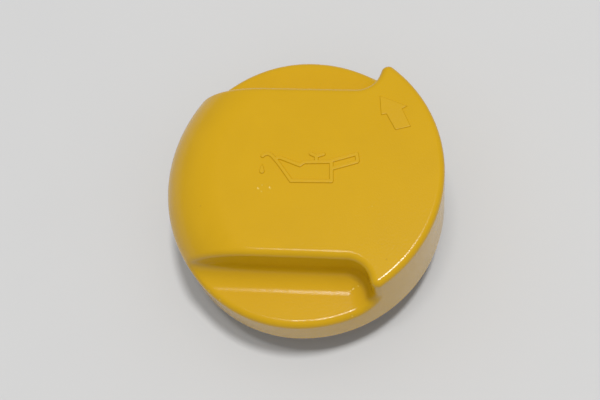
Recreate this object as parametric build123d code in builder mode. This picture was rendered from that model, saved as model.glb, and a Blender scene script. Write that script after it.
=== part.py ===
import os

from build123d import *

# Oil filler cap in millimetres, standing on the end of its stem.
# Z is the turning axis, X runs along the grip from the domed tail to the full head.

# Cap outside
cap_radius = 36.3
cap_height = 26.4
wall = 2.5
head_round = 1.6
rim_chamfer = 0.5

# Grip with a finger pocket on each side
grip_half_width = 22.3
pocket_depth = 14.1
pocket_length = 13.4
pocket_mouth = 7.8
pocket_turn = 73.0
floor_round_relief = 0.7
edge_round = 1.8

# Domed tail of the grip
tail_axis_x = 5.0
tail_setback = 1.9
tail_margin = 2.4
tail_overrun = 0.4
tail_blend = 8.0

# Hollow stem with bayonet lugs
stem_radius = 20.4
stem_wall = 2.4
stem_drop = 12.0
stem_lead = 1.0
lug_count = 2
lug_reach = 3.0
lug_sweep = 56.0
lug_height = 4.0
lug_level = 1.6
lug_ramp = 3.0
lug_round = 0.6

# Sealing ring, the rib that carries it and the stiffening ribs
seal_radius = 29.0
seal_thickness = 3.0
seal_clearance = 0.1
seal_chamfer = 0.4
seat_width = 2.4
seat_height = 1.5
rib_count = 8
rib_thickness = 1.6

# Levels above the end of the stem, and a length past every face
rim_z = stem_drop
top_z = rim_z + cap_height
floor_z = top_z - pocket_depth
seat_z = floor_z - wall - seat_height
pocket_corner = cap_radius - grip_half_width - pocket_mouth
pocket_floor_round = pocket_corner - floor_round_relief
beyond = 2 * cap_radius
tail_flat = grip_half_width + tail_margin
tail_reach = cap_radius - tail_setback
tail_side = tail_reach + tail_overrun + tail_axis_x
tail_round = tail_side - tail_flat
tail_bend_z = top_z - tail_round
on_base = (Align.CENTER, Align.CENTER, Align.MIN)


# Round of the cap, a little shorter on the side of the tail, with every face moved in by inset
def full_round(inset):
    with BuildPart() as drum:
        with BuildSketch(Plane.XY.offset(rim_z)):
            Ellipse(tail_reach - inset, cap_radius - inset)
            split(bisect_by=Plane.YZ, keep=Keep.BOTTOM)
        extrude(amount=cap_height - inset)
        with BuildSketch(Plane.XY.offset(rim_z)):
            Circle(cap_radius - inset)
            split(bisect_by=Plane.YZ, keep=Keep.TOP)
        extrude(amount=cap_height - inset)
    return drum.part


# Domed half of the cap without its pockets, with every face moved in by inset
def tail_half(inset):
    top = top_z - inset
    side = tail_side - inset
    with BuildPart() as tail:
        with BuildSketch(Plane(origin=(tail_axis_x, 0, 0), x_dir=(0, 1, 0), z_dir=(1, 0, 0))):
            with BuildLine():
                Polyline((tail_flat, top), (0, top), (0, rim_z), (side, rim_z))
                Line((side, rim_z), (side, tail_bend_z))
                CenterArc((tail_flat, tail_bend_z), tail_round - inset, 0, 90)
            make_face()
        revolve(axis=Axis((tail_axis_x, 0, 0), (0, 0, 1)), revolution_arc=180)
        add(full_round(inset), mode=Mode.INTERSECT)
    return tail.part


# Full half of the cap without its pockets, with every face moved in by inset
def head_half(inset):
    with BuildPart() as head:
        add(full_round(inset))
        split(bisect_by=Plane(origin=(tail_axis_x, 0, 0), z_dir=(1, 0, 0)), keep=Keep.TOP)
    return head.part


# Space of the two finger pockets, with every face moved out by inset
def finger_pockets(inset):
    side_y = grip_half_width - inset
    corner = pocket_corner + inset
    with BuildPart() as pockets:
        with BuildSketch(Plane.XY.offset(floor_z - inset)):
            with BuildLine():
                Line((-beyond, side_y), (pocket_length, side_y))
                bend = CenterArc((pocket_length, side_y + corner), corner, -90, pocket_turn)
                end_wall = PolarLine(bend @ 1, beyond, pocket_turn)
                Polyline(end_wall @ 1, (-beyond, (end_wall @ 1).Y), (-beyond, side_y))
            make_face()
        extrude(amount=pocket_depth + beyond)
        floor_edges = pockets.faces().sort_by(Axis.Z)[0].edges().sort_by(Axis.Y)[:3]
        fillet(floor_edges, pocket_floor_round + inset)
        mirror(about=Plane.XZ)
    return pockets.part


# Outside of the moulding
with BuildPart() as skin:
    add(tail_half(0))
    fillet(skin.edges().filter_by(GeomType.BSPLINE).sort_by(Axis.X)[0], tail_blend)
    add(head_half(0))
    chamfer(skin.faces().sort_by(Axis.Z)[0].edges(), rim_chamfer)
    add(finger_pockets(0), mode=Mode.SUBTRACT)
    fillet(skin.edges(Select.NEW), edge_round)
    fillet(skin.edges().filter_by(GeomType.CIRCLE).group_by(Axis.Z)[-1].sort_by(Axis.X)[-1], head_round)

# Hollow under the skin, which leaves the stem, the seat rib and the stiffening ribs standing
with BuildPart() as hollow:
    add(tail_half(wall))
    add(head_half(wall))
    add(finger_pockets(wall), mode=Mode.SUBTRACT)
    with BuildSketch(Plane.XY.offset(rim_z)):
        Circle(stem_radius)
    extrude(amount=beyond, mode=Mode.SUBTRACT)
    with BuildSketch(Plane.XY.offset(seat_z)):
        Circle(seal_radius)
        Circle(seal_radius - seat_width, mode=Mode.SUBTRACT)
        with PolarLocations(beyond / 2, rib_count, start_angle=180 / rib_count):
            Rectangle(beyond, rib_thickness)
    extrude(amount=beyond, mode=Mode.SUBTRACT)

# Stem with a lead-in at its end
with BuildPart() as stem:
    Cylinder(stem_radius, seat_z, align=on_base)
    chamfer(stem.faces().sort_by(Axis.Z)[0].edges(), stem_lead)

# Bayonet lug, its upper face inclined to draw the cap down on the filler neck
with BuildPart() as lug:
    with BuildSketch(Plane.XY.offset(lug_level)):
        with BuildLine():
            outer = CenterArc((0, 0), stem_radius + lug_reach, -lug_sweep / 2, lug_sweep)
            inner = CenterArc((0, 0), stem_radius - stem_wall / 2, -lug_sweep / 2, lug_sweep)
            Line(inner @ 0, outer @ 0)
            Line(inner @ 1, outer @ 1)
        make_face()
    extrude(amount=2 * lug_height)
    with Locations(Location((0, 0, lug_level + lug_height), (lug_ramp, 0, 0))):
        Box(beyond, beyond, beyond, align=on_base, mode=Mode.SUBTRACT)
    fillet(lug.edges().filter_by(Axis.Z).sort_by(Axis.X)[-2:], lug_round)

with BuildPart() as cap_body:
    add(skin.part)
    add(hollow.part, mode=Mode.SUBTRACT)
    add(stem.part)
    Cylinder(stem_radius - stem_wall, top_z - wall, align=on_base, mode=Mode.SUBTRACT)
    with PolarLocations(0, lug_count):
        add(lug.part)

with BuildPart() as sealing_ring:
    with BuildSketch(Plane.XY.offset(seat_z - seal_thickness)):
        Circle(seal_radius)
        Circle(stem_radius + seal_clearance, mode=Mode.SUBTRACT)
    extrude(amount=seal_thickness)
    chamfer(sealing_ring.edges().group_by(Axis.Z)[0], seal_chamfer)

os.makedirs("parts", exist_ok=True)
cap_body.part.label = "cap_body"
export_step(cap_body.part, "parts/cap_body.step")
sealing_ring.part.label = "sealing_ring"
export_step(sealing_ring.part, "parts/sealing_ring.step")
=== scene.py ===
import math
import bpy
import numpy as np
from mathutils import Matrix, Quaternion, Vector


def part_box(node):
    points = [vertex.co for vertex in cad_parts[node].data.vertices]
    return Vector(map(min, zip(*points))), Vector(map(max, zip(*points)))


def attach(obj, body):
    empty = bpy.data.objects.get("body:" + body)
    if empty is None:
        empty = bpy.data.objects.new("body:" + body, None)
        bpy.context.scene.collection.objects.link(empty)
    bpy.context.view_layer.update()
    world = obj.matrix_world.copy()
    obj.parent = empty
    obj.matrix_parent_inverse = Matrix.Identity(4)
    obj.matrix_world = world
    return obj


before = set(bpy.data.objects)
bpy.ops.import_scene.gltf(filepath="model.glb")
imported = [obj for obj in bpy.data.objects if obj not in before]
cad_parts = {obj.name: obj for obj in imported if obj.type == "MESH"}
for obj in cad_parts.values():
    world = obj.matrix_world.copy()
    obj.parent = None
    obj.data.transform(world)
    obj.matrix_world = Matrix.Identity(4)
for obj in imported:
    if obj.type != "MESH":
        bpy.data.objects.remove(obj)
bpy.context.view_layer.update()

mm = 0.001
scene = bpy.context.scene
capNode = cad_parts["cap_body"]
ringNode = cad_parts["sealing_ring"]
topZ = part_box("cap_body")[1].z  # the flat top that carries the signs
print("frame loaded, top of the cap at %.1f mm" % (topZ / mm))


# shader helpers

# a node of one kind in a tree, with its plain settings and the values of its inputs
def addNode(tree, kind, settings=None, values=None):
    node = tree.nodes.new(kind)
    for key, value in (settings or {}).items():
        setattr(node, key, value)
    for key, value in (values or {}).items():
        node.inputs[key].default_value = value
    return node


# an empty group with its sockets, each given as (name, kind)
def newGroup(name, inputs, outputs):
    tree = bpy.data.node_groups.new(name, "ShaderNodeTree")
    for way, sockets in (("INPUT", inputs), ("OUTPUT", outputs)):
        for label, kind in sockets:
            tree.interface.new_socket(label, in_out=way, socket_type="NodeSocket" + kind)
    return tree, tree.nodes.new("NodeGroupInput"), tree.nodes.new("NodeGroupOutput")


# noise of a moulded skin: fine for the grain, slow for the cloud
skinNoise = {
    "fine": {"Detail": 3.0, "Roughness": 0.55},
    "slow": {"Detail": 4.0, "Roughness": 0.6, "Distortion": 0.4},
}


# skin of a moulding: grain is fine noise at the grain size, cloud is slow noise over the whole piece
def makeMouldSkin(noise):
    tree, here, out = newGroup(
        "mouldSkin",
        [("Vector", "Vector"), ("Grain per metre", "Float"), ("Cloud per metre", "Float")],
        [("Grain", "Float"), ("Cloud", "Float")],
    )
    fine = addNode(tree, "ShaderNodeTexNoise", None, noise["fine"])
    slow = addNode(tree, "ShaderNodeTexNoise", None, noise["slow"])
    tree.links.new(here.outputs["Vector"], fine.inputs["Vector"])
    tree.links.new(here.outputs["Vector"], slow.inputs["Vector"])
    tree.links.new(here.outputs["Grain per metre"], fine.inputs["Scale"])
    tree.links.new(here.outputs["Cloud per metre"], slow.inputs["Scale"])
    tree.links.new(fine.outputs["Fac"], out.inputs["Grain"])
    tree.links.new(slow.outputs["Fac"], out.inputs["Cloud"])
    return tree


# specks of dust: a round dot in each cell of a random pattern, kept where the cell's own random value is low
def makeDustSpecks():
    tree, here, out = newGroup(
        "dustSpecks",
        [("Vector", "Vector"), ("Specks per metre", "Float"), ("Size", "Float"), ("Share", "Float")],
        [("Mask", "Float")],
    )
    cells = addNode(tree, "ShaderNodeTexVoronoi", {"feature": "F1"}, {"Randomness": 1.0})
    split = addNode(tree, "ShaderNodeSeparateColor")
    dot = addNode(tree, "ShaderNodeMath", {"operation": "LESS_THAN"})
    few = addNode(tree, "ShaderNodeMath", {"operation": "LESS_THAN"})
    both = addNode(tree, "ShaderNodeMath", {"operation": "MULTIPLY"})
    tree.links.new(here.outputs["Vector"], cells.inputs["Vector"])
    tree.links.new(here.outputs["Specks per metre"], cells.inputs["Scale"])
    tree.links.new(cells.outputs["Distance"], dot.inputs[0])
    tree.links.new(here.outputs["Size"], dot.inputs[1])
    tree.links.new(cells.outputs["Color"], split.inputs["Color"])
    tree.links.new(split.outputs["Red"], few.inputs[0])
    tree.links.new(here.outputs["Share"], few.inputs[1])
    tree.links.new(dot.outputs[0], both.inputs[0])
    tree.links.new(few.outputs[0], both.inputs[1])
    tree.links.new(both.outputs[0], out.inputs["Mask"])
    return tree


# one small mark, whose pale tone also stands for a painted glint: 1 at its centre, falling evenly to 0 at its reach
def makeNickAndGlint():
    tree, here, out = newGroup(
        "nickAndGlint",
        [("Vector", "Vector"), ("Centre", "Vector"), ("Reach", "Float")],
        [("Mask", "Float")],
    )
    away = addNode(tree, "ShaderNodeVectorMath", {"operation": "DISTANCE"})
    share = addNode(tree, "ShaderNodeMath", {"operation": "DIVIDE"})
    fall = addNode(tree, "ShaderNodeMath", {"operation": "SUBTRACT", "use_clamp": True}, {0: 1.0})
    tree.links.new(here.outputs["Vector"], away.inputs[0])
    tree.links.new(here.outputs["Centre"], away.inputs[1])
    tree.links.new(away.outputs["Value"], share.inputs[0])
    tree.links.new(here.outputs["Reach"], share.inputs[1])
    tree.links.new(share.outputs[0], fall.inputs[1])
    tree.links.new(fall.outputs[0], out.inputs["Mask"])
    return tree


mouldSkin = makeMouldSkin(skinNoise)
dustSpecks = makeDustSpecks()
nickAndGlint = makeNickAndGlint()


# a new material with its tree, its shader and its coordinates
def newMaterial(name):
    material = bpy.data.materials.new(name)
    material.use_nodes = True
    tree = material.node_tree
    return material, tree, tree.nodes["Principled BSDF"], addNode(tree, "ShaderNodeTexCoord")


# a group placed in a material, fed with Object coordinates
def placeGroup(tree, group, coords, values):
    node = addNode(tree, "ShaderNodeGroup", {"node_tree": group}, values)
    tree.links.new(coords.outputs["Object"], node.inputs["Vector"])
    return node


# the moulded skin at the sizes of one look
def placeSkin(tree, coords, look):
    sizes = {"Grain per metre": look["grainPerMetre"], "Cloud per metre": look["cloudPerMetre"]}
    return placeGroup(tree, mouldSkin, coords, sizes)


# the dust of one look, as a mask from 0 to the look's own strength
def placeDust(tree, coords, look):
    sizes = {"Specks per metre": look["specksPerMetre"], "Size": look["speckSize"], "Share": look["speckShare"]}
    return between(tree, placeGroup(tree, dustSpecks, coords, sizes).outputs["Mask"], 0.0, look["speckStrength"])


# value = low + (high - low) * mask
def between(tree, mask, low, high):
    node = addNode(tree, "ShaderNodeMapRange", None, {"To Min": low, "To Max": high})
    tree.links.new(mask, node.inputs["Value"])
    return node.outputs["Result"]


# colour a, going to colour b where the mask is 1
def mixColour(tree, mask, a, b):
    node = addNode(tree, "ShaderNodeMix", {"data_type": "RGBA"})
    factor, first, second = (node.inputs[place] for place in (0, 6, 7))  # 6 and 7 take colours, and 2 puts one out
    tree.links.new(mask, factor)
    for socket, colour in ((first, a), (second, b)):
        if isinstance(colour, bpy.types.NodeSocket):
            tree.links.new(colour, socket)
        else:
            socket.default_value = (*colour, 1.0)
    return node.outputs[2]


# sum of two values
def plus(tree, a, b):
    node = addNode(tree, "ShaderNodeMath", {"operation": "ADD"})
    tree.links.new(a, node.inputs[0])
    tree.links.new(b, node.inputs[1])
    return node.outputs[0]


# yellow plastic of the cap
yellowLook = {
    "yellow": (0.580, 0.332, 0.0030),
    "paler": (0.610, 0.352, 0.0050),
    "speck": (0.46, 0.25, 0.01),
    # the pale colour of the small dents below is partly wear and partly painted highlight
    "nickWearAndGlintTone": (0.74, 0.50, 0.06),
    "roughLow": 0.16,
    "roughHigh": 0.22,
    "gloss": 0.29,
    "grainPerMetre": 1900.0,
    "cloudPerMetre": 60.0,
    "cloudSpread": (-0.6, 1.6),  # how far the cloud takes the colour from yellow to paler
    "specksPerMetre": 260.0,
    "speckSize": 0.07,
    "speckShare": 0.05,
    "speckStrength": 0.45,
    "grainStrength": 0.5,
    "grainDepth": 0.00007,
    "nickDepth": 0.00012,
    # pale spots on small dents: partly wear, partly painted highlight; those in the corner of the pocket are painted
    # highlight only
    "nicksAndGlints": [  # x, y, z and reach in mm: on the top, along the edge of the floor, in the corner of the pocket
        (-8.85, -5.44, 38.4, 0.42),
        (-5.97, -5.24, 38.4, 0.40),
        (-8.06, -6.18, 38.4, 0.30),
        (-8.01, -4.55, 38.4, 0.26),
        (19.16, -9.12, 38.4, 0.25),
        (-26.21, -22.79, 23.65, 0.42),
        (-24.24, -25.10, 23.65, 0.48),
        (-21.60, -27.65, 23.65, 0.44),
        (-18.70, -29.93, 23.65, 0.40),
        (14.75, -32.67, 23.7, 0.35),
        (14.1, -26.5, 24.6, 0.35),
        (14.8, -25.95, 24.8, 0.40),
        (16.0, -25.4, 25.4, 0.35),
    ],
}

# the raised signs have the same plastic with a duller skin
signLook = {**yellowLook, "roughLow": 0.26, "roughHigh": 0.32, "gloss": 0.23}


# colour = yellow going to paler with the cloud, then specks, then the pale tone of small dents, partly wear and partly
# painted highlight;
# roughness falls with the cloud; the bump is the grain less those dents
def makeYellowPlastic(name, look):
    material, tree, shader, coords = newMaterial(name)
    shader.inputs["Specular IOR Level"].default_value = look["gloss"]
    skin = placeSkin(tree, coords, look)
    nickWearAndGlintMask = None
    for x, y, z, reach in look["nicksAndGlints"]:
        one = placeGroup(tree, nickAndGlint, coords, {"Centre": (x * mm, y * mm, z * mm), "Reach": reach * mm})
        nickWearAndGlintMask = one.outputs["Mask"] if nickWearAndGlintMask is None else plus(tree, nickWearAndGlintMask, one.outputs["Mask"])
    cloud = skin.outputs["Cloud"]
    tone = mixColour(tree, between(tree, cloud, *look["cloudSpread"]), look["yellow"], look["paler"])
    tone = mixColour(tree, placeDust(tree, coords, look), tone, look["speck"])
    # painted highlight: the pale tone on the small dents also stands for glints of the lamp
    tone = mixColour(tree, nickWearAndGlintMask, tone, look["nickWearAndGlintTone"])
    tree.links.new(tone, shader.inputs["Base Color"])
    tree.links.new(between(tree, cloud, look["roughHigh"], look["roughLow"]), shader.inputs["Roughness"])
    grain = addNode(tree, "ShaderNodeBump", None, {"Strength": look["grainStrength"], "Distance": look["grainDepth"]})
    dent = addNode(tree, "ShaderNodeBump", {"invert": True}, {"Strength": 1.0, "Distance": look["nickDepth"]})
    tree.links.new(skin.outputs["Grain"], grain.inputs["Height"])
    tree.links.new(nickWearAndGlintMask, dent.inputs["Height"])
    tree.links.new(grain.outputs["Normal"], dent.inputs["Normal"])
    tree.links.new(dent.outputs["Normal"], shader.inputs["Normal"])
    return material


# black rubber of the seal
rubberLook = {
    "black": (0.011, 0.011, 0.012),
    "bloom": (0.034, 0.034, 0.035),
    "speck": (0.12, 0.11, 0.10),
    "roughLow": 0.5,
    "roughHigh": 0.75,
    "grainPerMetre": 3200.0,
    "cloudPerMetre": 120.0,
    "cloudSpread": (-0.4, 1.2),  # how far the cloud takes the colour from black to bloom
    "specksPerMetre": 500.0,
    "speckSize": 0.16,
    "speckShare": 0.18,
    "speckStrength": 0.6,
    "grainStrength": 0.6,
    "grainDepth": 0.00005,
}


# colour = black going to a grey bloom with the cloud, then dust; roughness rises with the grain, which is also the bump
def makeBlackRubber(look):
    material, tree, shader, coords = newMaterial("blackRubber")
    skin = placeSkin(tree, coords, look)
    tone = mixColour(tree, between(tree, skin.outputs["Cloud"], *look["cloudSpread"]), look["black"], look["bloom"])
    tone = mixColour(tree, placeDust(tree, coords, look), tone, look["speck"])
    tree.links.new(tone, shader.inputs["Base Color"])
    rough = between(tree, skin.outputs["Grain"], look["roughLow"], look["roughHigh"])
    tree.links.new(rough, shader.inputs["Roughness"])
    grain = addNode(tree, "ShaderNodeBump", None, {"Strength": look["grainStrength"], "Distance": look["grainDepth"]})
    tree.links.new(skin.outputs["Grain"], grain.inputs["Height"])
    tree.links.new(grain.outputs["Normal"], shader.inputs["Normal"])
    return material


yellowPlastic = makeYellowPlastic("yellowPlastic", yellowLook)
signPlastic = makeYellowPlastic("signPlastic", signLook)
blackRubber = makeBlackRubber(rubberLook)
for node, material in ((capNode, yellowPlastic), (ringNode, blackRubber)):
    node.data.materials.clear()
    node.data.materials.append(material)
print("materials made: yellow plastic, duller plastic for the signs, black rubber")


# raised signs on the flat top

# puts points (n, 3) and quads (m, 4) into an object at the origin; the first smoothCount quads are smooth
def putMesh(name, points, quads, smoothCount, material):
    mesh = bpy.data.meshes.new(name)
    mesh.vertices.add(len(points))
    mesh.vertices.foreach_set("co", points.astype(np.float32).ravel())
    mesh.loops.add(quads.size)
    mesh.loops.foreach_set("vertex_index", quads.astype(np.int32).ravel())
    mesh.polygons.add(len(quads))
    mesh.polygons.foreach_set("loop_start", np.arange(0, quads.size, 4, dtype=np.int32))
    mesh.polygons.foreach_set("use_smooth", np.arange(len(quads)) < smoothCount)
    mesh.update(calc_edges=True)
    mesh.validate()
    mesh.materials.append(material)
    piece = bpy.data.objects.new(name, mesh)
    scene.collection.objects.link(piece)
    return piece


# distance to a stroke: nearest point on each leg of the path, less a half width that runs evenly along the leg
def strokeDistance(px, py, path, halfWidths):
    nearest = np.full(px.shape, np.inf)
    for (ax, ay), (bx, by), wa, wb in zip(path[:-1], path[1:], halfWidths[:-1], halfWidths[1:]):
        ux, uy = bx - ax, by - ay
        t = np.clip(((px - ax) * ux + (py - ay) * uy) / (ux * ux + uy * uy), 0, 1)
        nearest = np.minimum(nearest, np.hypot(px - ax - t * ux, py - ay - t * uy) - wa - t * (wb - wa))
    return nearest


# signed distance to a closed outline: nearest side, counted negative where a ray to +x crosses an odd number of sides
def outlineDistance(px, py, corners):
    loop = list(corners) + [corners[0]]
    nearest = strokeDistance(px, py, loop, [0.0] * len(loop))
    crossings = np.zeros(px.shape, int)
    tiny = 1e-12  # keeps a level side, which no ray crosses, from dividing by zero
    for (ax, ay), (bx, by) in zip(loop[:-1], loop[1:]):
        spans = (ay > py) != (by > py)
        crossings += spans & (px < ax + (py - ay) * (bx - ax) / (by - ay + tiny))
    return np.where(crossings % 2 == 1, -nearest, nearest)


# points of a smooth line through the given points: Catmull-Rom cubics, all legs at once
def smoothPath(points, steps):
    p = np.array(points, float)
    p = np.vstack([2 * p[0] - p[1], p, 2 * p[-1] - p[-2]])
    a, b, c, d = p[:-3, None], p[1:-2, None], p[2:-1, None], p[3:, None]
    t = np.linspace(0, 1, steps, endpoint=False)[None, :, None]
    legs = 0.5 * (2 * b + (c - a) * t + (2 * a - 5 * b + 4 * c - d) * t**2 + (3 * b - a - 3 * c + d) * t**3)
    return np.vstack([legs.reshape(-1, 2), p[-2]])


# relief z = top - sink + (height + sink) * smooth step of (0.5 - distance / flank), on a square grid of x and y
# round the points, kept where it rises and closed below by the same cells at the depth of the root
def raiseRelief(name, distance, points, look, material):
    margin = look["flank"] + 2 * look["pitch"]
    low, high = points.min(0) - look["border"], points.max(0) + look["border"]
    xs = np.arange(low[0] - margin, high[0] + margin, look["pitch"])
    ys = np.arange(low[1] - margin, high[1] + margin, look["pitch"])
    px, py = np.meshgrid(xs, ys, indexing="ij")
    t = np.clip(0.5 - distance(px, py) / look["flank"], 0, 1)
    upper = topZ / mm - look["sink"] + (look["height"] + look["sink"]) * t * t * (3 - 2 * t)
    lower = np.full(px.shape, topZ / mm - look["root"])
    kept = np.maximum.reduce([t[:-1, :-1], t[1:, :-1], t[1:, 1:], t[:-1, 1:]]) > 0
    ids = np.arange(px.size).reshape(px.shape)
    under = ids + px.size
    c00, c10, c11, c01 = ids[:-1, :-1], ids[1:, :-1], ids[1:, 1:], ids[:-1, 1:]
    u00, u10, u11, u01 = under[:-1, :-1], under[1:, :-1], under[1:, 1:], under[:-1, 1:]
    ring = np.pad(kept, 1)
    west, east = kept & ~ring[:-2, 1:-1], kept & ~ring[2:, 1:-1]
    south, north = kept & ~ring[1:-1, :-2], kept & ~ring[1:-1, 2:]
    sheets = [
        np.stack([c00, c10, c11, c01], -1)[kept],
        np.stack([u00, u01, u11, u10], -1)[kept],
        np.stack([c00, c01, u01, u00], -1)[west],
        np.stack([c11, c10, u10, u11], -1)[east],
        np.stack([c10, c00, u00, u10], -1)[south],
        np.stack([c01, c11, u11, u01], -1)[north],
    ]
    used, quads = np.unique(np.concatenate(sheets), return_inverse=True)
    both = np.concatenate([np.stack([px, py, z], -1).reshape(-1, 3) for z in (upper, lower)])
    piece = putMesh(name, both[used] * mm, quads.reshape(-1, 4), len(sheets[0]), material)
    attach(piece, "root")
    print("%s: %d quads" % (name, len(piece.data.polygons)))
    return piece


# oil can: outline strokes, x and y in mm on the top
oilCan = {
    "width": 0.95,
    "height": 0.34,
    "flank": 0.24,
    "sink": 0.05,
    "root": 0.3,
    "pitch": 0.06,
    "border": 0.5,
    "spout": [
        (-8.52, 3.15),
        (-8.03, 3.57),
        (-7.22, 3.77),
        (-6.53, 3.53),
        (-5.91, 3.01),
        (-4.66, 1.64),
        (-3.06, -0.4),
        (-1.0, -3.13),
    ],
    "spoutSteps": 8,
    "straight": [
        [(-4.72, 2.78), (-4.0, 2.8), (-1.57, 1.89), (0.85, 0.98)],
        [(0.85, 0.98), (1.95, 1.8), (8.6, 2.1)],
        [(8.6, 2.1), (8.96, -2.98)],
        [(-1.0, -3.18), (8.96, -2.98)],
        [(8.65, 2.36), (13.84, 4.04), (14.71, 4.33), (15.05, 2.54), (14.87, 2.27), (9.02, 0.34)],
        [(4.93, 2.02), (4.83, 3.47)],
        [(3.43, 4.07), (4.83, 3.47), (6.57, 4.05)],
    ],
}
canStrokes = [smoothPath(oilCan["spout"], oilCan["spoutSteps"])] + oilCan["straight"]
canPoints = np.vstack([np.array(s, float) for s in canStrokes])


# least of the distances to the strokes, each one width wide
def canDistance(px, py):
    half = oilCan["width"] / 2
    return np.minimum.reduce([strokeDistance(px, py, s, [half] * len(s)) for s in canStrokes])


raiseRelief("oil_can_sign", canDistance, canPoints, oilCan, signPlastic)

# oil drop: one stroke that swells from its tip to its round end
oilDrop = {
    "height": 0.32,
    "flank": 0.24,
    "sink": 0.05,
    "root": 0.3,
    "pitch": 0.06,
    "border": 0.8,
    "path": [(-8.43, 0.75), (-8.41, 0.0), (-8.37, -0.85)],
    "halfWidths": [0.16, 0.42, 0.62],
}
dropPoints = np.array(oilDrop["path"])


# distance to the swelling stroke
def dropDistance(px, py):
    return strokeDistance(px, py, oilDrop["path"], oilDrop["halfWidths"])


raiseRelief("oil_drop_sign", dropDistance, dropPoints, oilDrop, signPlastic)

# arrow that shows the way to turn: a low plateau
turnArrow = {
    "height": 0.26,
    "flank": 0.24,
    "sink": 0.05,
    "root": 0.3,
    "pitch": 0.06,
    "border": 0.5,
    "corners": [
        (19.63, 20.08),
        (20.2, 14.95),
        (21.49, 15.22),
        (23.9, 10.98),
        (27.61, 12.01),
        (25.3, 16.72),
        (26.6, 17.43),
    ],
}
arrowPoints = np.array(turnArrow["corners"])


# signed distance to the outline of the arrow
def arrowDistance(px, py):
    return outlineDistance(px, py, turnArrow["corners"])


raiseRelief("turn_arrow", arrowDistance, arrowPoints, turnArrow, signPlastic)

# pale table
tableLook = {
    "size": 6.0,
    "points": 9,
    "pale": (0.615, 0.615, 0.613),
    "shade": (0.595, 0.595, 0.595),
    "rough": 0.75,
    "gloss": 0.2,
    "grainPerMetre": 900.0,
    "cloudPerMetre": 14.0,
}


# a flat square grid about the origin: x and y run evenly from -size / 2 to size / 2;
# colour = pale going to shade with the cloud
def makeTable(look):
    line = np.linspace(-look["size"] / 2, look["size"] / 2, look["points"])
    px, py = np.meshgrid(line, line, indexing="ij")
    ids = np.arange(px.size).reshape(px.shape)
    quads = np.stack([ids[:-1, :-1], ids[1:, :-1], ids[1:, 1:], ids[:-1, 1:]], -1).reshape(-1, 4)
    points = np.stack([px, py, np.zeros(px.shape)], -1).reshape(-1, 3)
    material, tree, shader, coords = newMaterial("paleTable")
    shader.inputs["Roughness"].default_value = look["rough"]
    shader.inputs["Specular IOR Level"].default_value = look["gloss"]
    skin = placeSkin(tree, coords, look)
    tone = mixColour(tree, skin.outputs["Cloud"], look["pale"], look["shade"])
    tree.links.new(tone, shader.inputs["Base Color"])
    table = putMesh("table", points, quads, len(quads), material)
    return table


makeTable(tableLook)
print("table laid")

# light: a round lamp high above the cap, a wide dim one beside it
# and a sky that changes evenly from the horizon to overhead
lampLook = {
    "lamps": [  # name, shape, place, length, width in mm, watts
        ("ceilingLamp", "DISK", (360.0, 150.0, 2600.0), 300.0, 300.0, 37.0),
        ("ceilingTube", "RECTANGLE", (-95.0, 0.0, 2590.0), 340.0, 150.0, 10.5),
    ],
    "skyTone": (1.0, 1.0, 1.0, 1.0),
    "horizon": 0.34,
    "zenith": 0.46,
}


# area lamps face straight down; sky strength = horizon + (zenith - horizon) * height of the direction
def lightScene(look):
    for name, shape, place, length, width, watts in look["lamps"]:
        lamp = bpy.data.lights.new(name, "AREA")
        lamp.shape = shape
        lamp.size = length * mm
        if shape == "RECTANGLE":
            lamp.size_y = width * mm
        lamp.energy = watts
        holder = bpy.data.objects.new(name, lamp)
        holder.location = Vector(place) * mm
        holder.visible_camera = False
        scene.collection.objects.link(holder)
    world = bpy.data.worlds.new("studio")
    scene.world = world
    world.use_nodes = True
    tree = world.node_tree
    tree.nodes.clear()
    coords = addNode(tree, "ShaderNodeTexCoord")
    split = addNode(tree, "ShaderNodeSeparateXYZ")
    sky = addNode(tree, "ShaderNodeBackground", None, {"Color": look["skyTone"]})
    out = addNode(tree, "ShaderNodeOutputWorld")
    tree.links.new(coords.outputs["Generated"], split.inputs["Vector"])
    tree.links.new(between(tree, split.outputs["Z"], look["horizon"], look["zenith"]), sky.inputs["Strength"])
    tree.links.new(sky.outputs[0], out.inputs["Surface"])


lightScene(lampLook)
print("lamps and sky set")

# camera high at the front right, with its picture rolled; place and aim in mm, clip in metres
cameraLook = {
    "place": (37.65, -106.4, 310.4),
    "aim": (-1.90, 1.465, 12.0),
    "lens": 72.0,
    "sensor": 36.0,
    "clip": (0.01, 20.0),
    "roll": -17.14,
}


# camera looks from its place to its aim, then turns about its own axis by the roll
def setCamera(look):
    data = bpy.data.cameras.new("viewCamera")
    data.lens = look["lens"]
    data.sensor_width = look["sensor"]
    data.clip_start, data.clip_end = look["clip"]
    camera = bpy.data.objects.new("viewCamera", data)
    place, aim = Vector(look["place"]) * mm, Vector(look["aim"]) * mm
    camera.location = place
    camera.rotation_mode = "QUATERNION"
    level = (aim - place).to_track_quat("-Z", "Y")
    camera.rotation_quaternion = level @ Quaternion((0, 0, 1), math.radians(look["roll"]))
    scene.collection.objects.link(camera)
    scene.camera = camera


setCamera(cameraLook)
scene.view_settings.view_transform = "Standard"
print("camera set")
